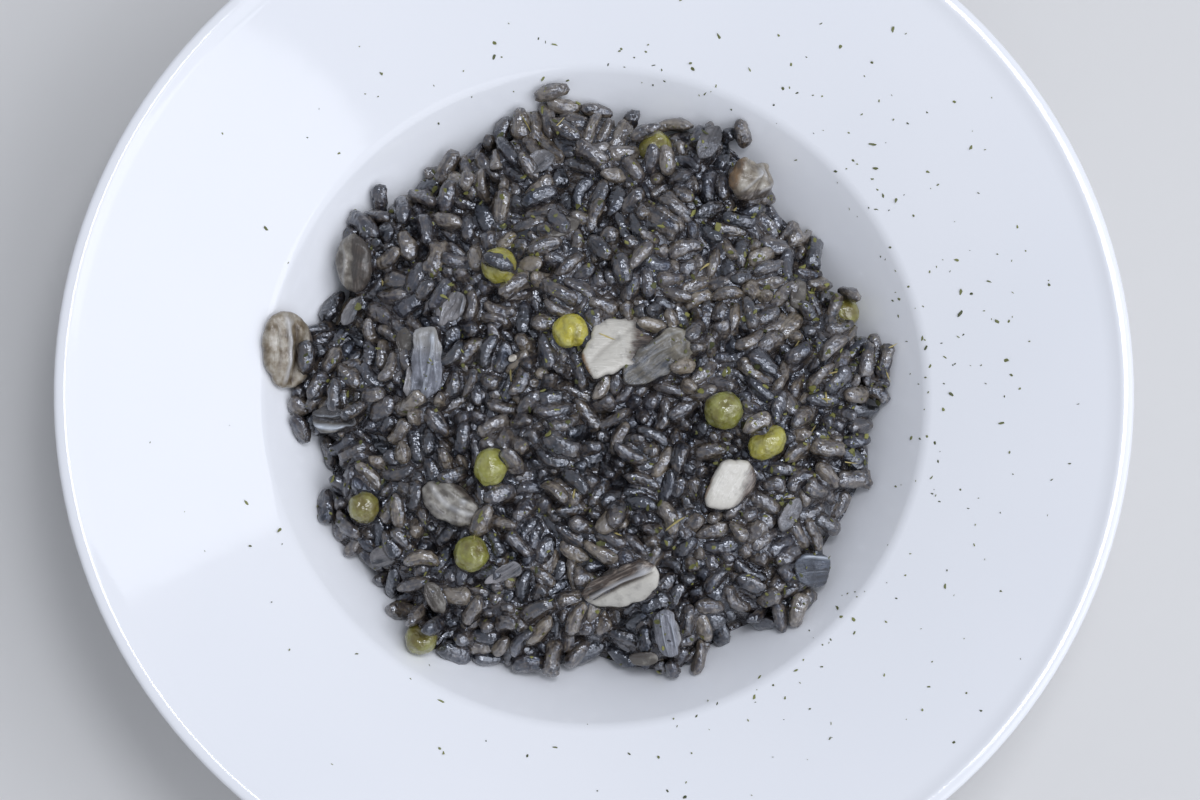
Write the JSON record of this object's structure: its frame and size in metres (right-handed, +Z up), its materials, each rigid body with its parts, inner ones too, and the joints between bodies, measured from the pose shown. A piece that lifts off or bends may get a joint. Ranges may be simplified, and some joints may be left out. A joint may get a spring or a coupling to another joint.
{
  "type": "plate of black risotto",
  "caption": "Deep wide-rimmed white plate filled with a mound of black ink risotto, topped with peas, mushroom slices and onion; stands on its foot ring.",
  "frame": {"origin": "middle of the plate's foot ring, at the level of the table", "axes": "+Z up, +Y away from the diner, +X to the diner's right"},
  "size_m": [0.27, 0.27, 0.05],
  "materials": {
    "porcelain": "gloss",
    "rice": "satin",
    "pea": "satin",
    "mushroom": "satin",
    "onion": "gloss"
  },
  "bodies": {
    "root": {"plate": "porcelain", "risotto": "rice", "pea_1": "pea", "pea_2": "pea", "pea_3": "pea", "pea_4": "pea", "pea_5": "pea", "pea_6": "pea", "pea_7": "pea", "pea_8": "pea", "pea_9": "pea", "pea_10": "pea", "mushroom_1": "mushroom", "mushroom_2": "mushroom", "mushroom_3": "mushroom", "mushroom_4": "mushroom", "mushroom_5": "mushroom", "mushroom_6": "mushroom", "mushroom_7": "mushroom", "onion_1": "onion", "onion_2": "onion", "onion_3": "onion", "onion_4": "onion", "onion_5": "onion", "onion_6": "onion", "onion_7": "onion"}
  },
  "joints": []
}
